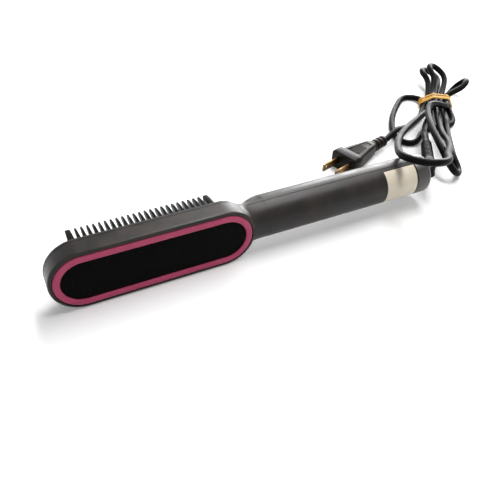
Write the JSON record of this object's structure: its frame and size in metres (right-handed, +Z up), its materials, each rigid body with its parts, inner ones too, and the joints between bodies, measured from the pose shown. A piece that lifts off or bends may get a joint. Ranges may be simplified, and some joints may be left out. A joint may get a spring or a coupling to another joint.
{
  "type": "hair straightening brush",
  "caption": "Straightening brush with a finned heated head, round handle, two press buttons and a swivelling, tilting strain relief on a bundled mains cord with plug.",
  "frame": {"origin": "middle of the brush, without its cord, on the surface that it lies on", "axes": "+X along the handle towards the cord end, +Y from the ringed back towards the fin tips, +Z up from the lower long side of the head"},
  "size_m": [0.4431, 0.1982, 0.0518],
  "materials": {
    "shell": "satin",
    "cap_shell": "satin",
    "fin_plastic": "gloss",
    "heated_metal": "satin",
    "ceramic": "matte",
    "steel": "satin",
    "mica": "matte",
    "fuse": "satin",
    "rose_trim": "satin",
    "black_panel": "matte",
    "clear_lens": "gloss",
    "circuit_board": "satin",
    "switch_black": "satin",
    "led": "gloss",
    "red_wire": "satin",
    "brown_wire": "satin",
    "carrier": "matte",
    "brass": "satin",
    "white_plastic": "satin",
    "cord_black": "gloss",
    "rubber_band": "matte",
    "plug_black": "satin"
  },
  "bodies": {
    "housing": {"back_shell": "shell", "front_shell": "shell", "end_cap": "cap_shell", "comb_frame": "fin_plastic", "heating_plate": "heated_metal", "ptc_heaters": "ceramic", "heater_clamp": "steel", "insulator_sheet": "mica", "thermal_fuse": "fuse", "trim_ring": "rose_trim", "back_panel": "black_panel", "indicator_lens": "clear_lens", "control_board": "circuit_board", "tact_switches": "switch_black", "status_leds": "led", "housing_screws": "steel", "board_screws": "steel", "heater_leads": "red_wire", "mains_leads": "brown_wire", "contact_carrier": "carrier", "contact_springs": "brass"},
    "power_key": {"power_button": "rose_trim", "power_plunger": "white_plastic"},
    "temp_key": {"temp_button": "shell", "temp_plunger": "white_plastic"},
    "swivel": {"swivel_knuckle": "cord_black", "swivel_retainer": "steel", "contact_rings": "brass", "pivot_pin": "steel"},
    "cord_end": {"strain_relief": "cord_black", "cord_lead": "cord_black", "cord_hank": "cord_black", "cord_tail": "cord_black", "cord_band": "rubber_band", "plug_body": "plug_black", "plug_blades": "brass"}
  },
  "joints": [
    {"name": "power_press", "type": "slide", "parent": "housing", "child": "power_key", "axis": [0, -1, 0], "range_m": [0, 0.0008], "stiffness_N_per_m": 1500},
    {"name": "temp_press", "type": "slide", "parent": "housing", "child": "temp_key", "axis": [0, -1, 0], "range_m": [0, 0.0008], "stiffness_N_per_m": 1500},
    {"name": "cord_spin", "type": "hinge", "parent": "housing", "child": "swivel", "pos_m": [0.1353, 0, 0.0221], "axis": [1, 0, 0], "continuous": true},
    {"name": "boot_tilt", "type": "hinge", "parent": "swivel", "child": "cord_end", "pos_m": [0.1447, 0, 0.0221], "axis": [0, 0.1045, 0.9945], "range_deg": [-53, 0]}
  ]
}
